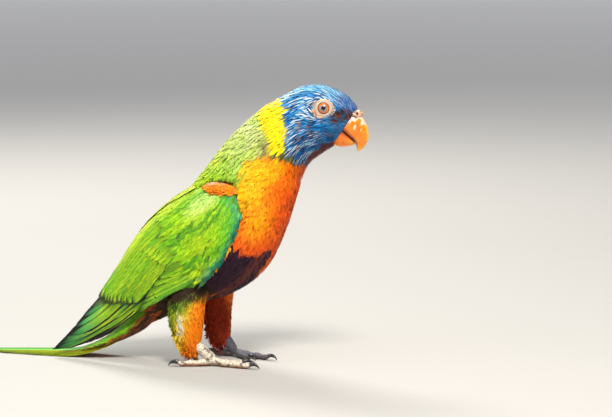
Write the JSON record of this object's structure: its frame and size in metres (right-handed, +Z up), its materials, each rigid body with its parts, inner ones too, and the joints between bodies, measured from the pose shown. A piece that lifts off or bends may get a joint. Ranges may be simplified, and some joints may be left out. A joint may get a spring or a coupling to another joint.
{
  "type": "rainbow lorikeet",
  "caption": "Life-size still model of a small parrot standing upright, wings folded, tail laid on the floor behind it.",
  "frame": {"origin": "middle of the floor under the bird's bounding box, its feet and tail at z = 0", "axes": "+X the way the bird faces, +Y its left side, +Z up"},
  "size_m": [0.2634, 0.0704, 0.1699],
  "materials": {
    "head_feathers": "streaked blue feathers",
    "nape_feathers": "yellow and pale green feathers",
    "breast_feathers": "orange and dark purple feathers",
    "wing_feathers": "green feathers, dark at the tips",
    "thigh_feathers": "green, yellow and orange feathers",
    "tail_feathers": "green above, olive and orange below",
    "bill_horn": "waxy orange horn",
    "eye_cornea": "wet, with an orange iris and a black pupil",
    "foot_skin": "scaly pale grey skin",
    "claw_horn": "dark horn"
  },
  "bodies": {
    "root": {"head": "head_feathers", "neck": "nape_feathers", "torso": "breast_feathers", "tail": "tail_feathers", "upper_bill": "bill_horn", "lower_bill": "bill_horn", "eye_right": "eye_cornea", "wing_right": "wing_feathers", "thigh_right": "thigh_feathers", "foot_right": "foot_skin", "claw_right_inner_front": "claw_horn", "claw_right_outer_front": "claw_horn", "claw_right_outer_back": "claw_horn", "claw_right_inner_back": "claw_horn", "eye_left": "eye_cornea", "wing_left": "wing_feathers", "thigh_left": "thigh_feathers", "foot_left": "foot_skin", "claw_left_inner_front": "claw_horn", "claw_left_outer_front": "claw_horn", "claw_left_outer_back": "claw_horn", "claw_left_inner_back": "claw_horn"}
  },
  "joints": []
}
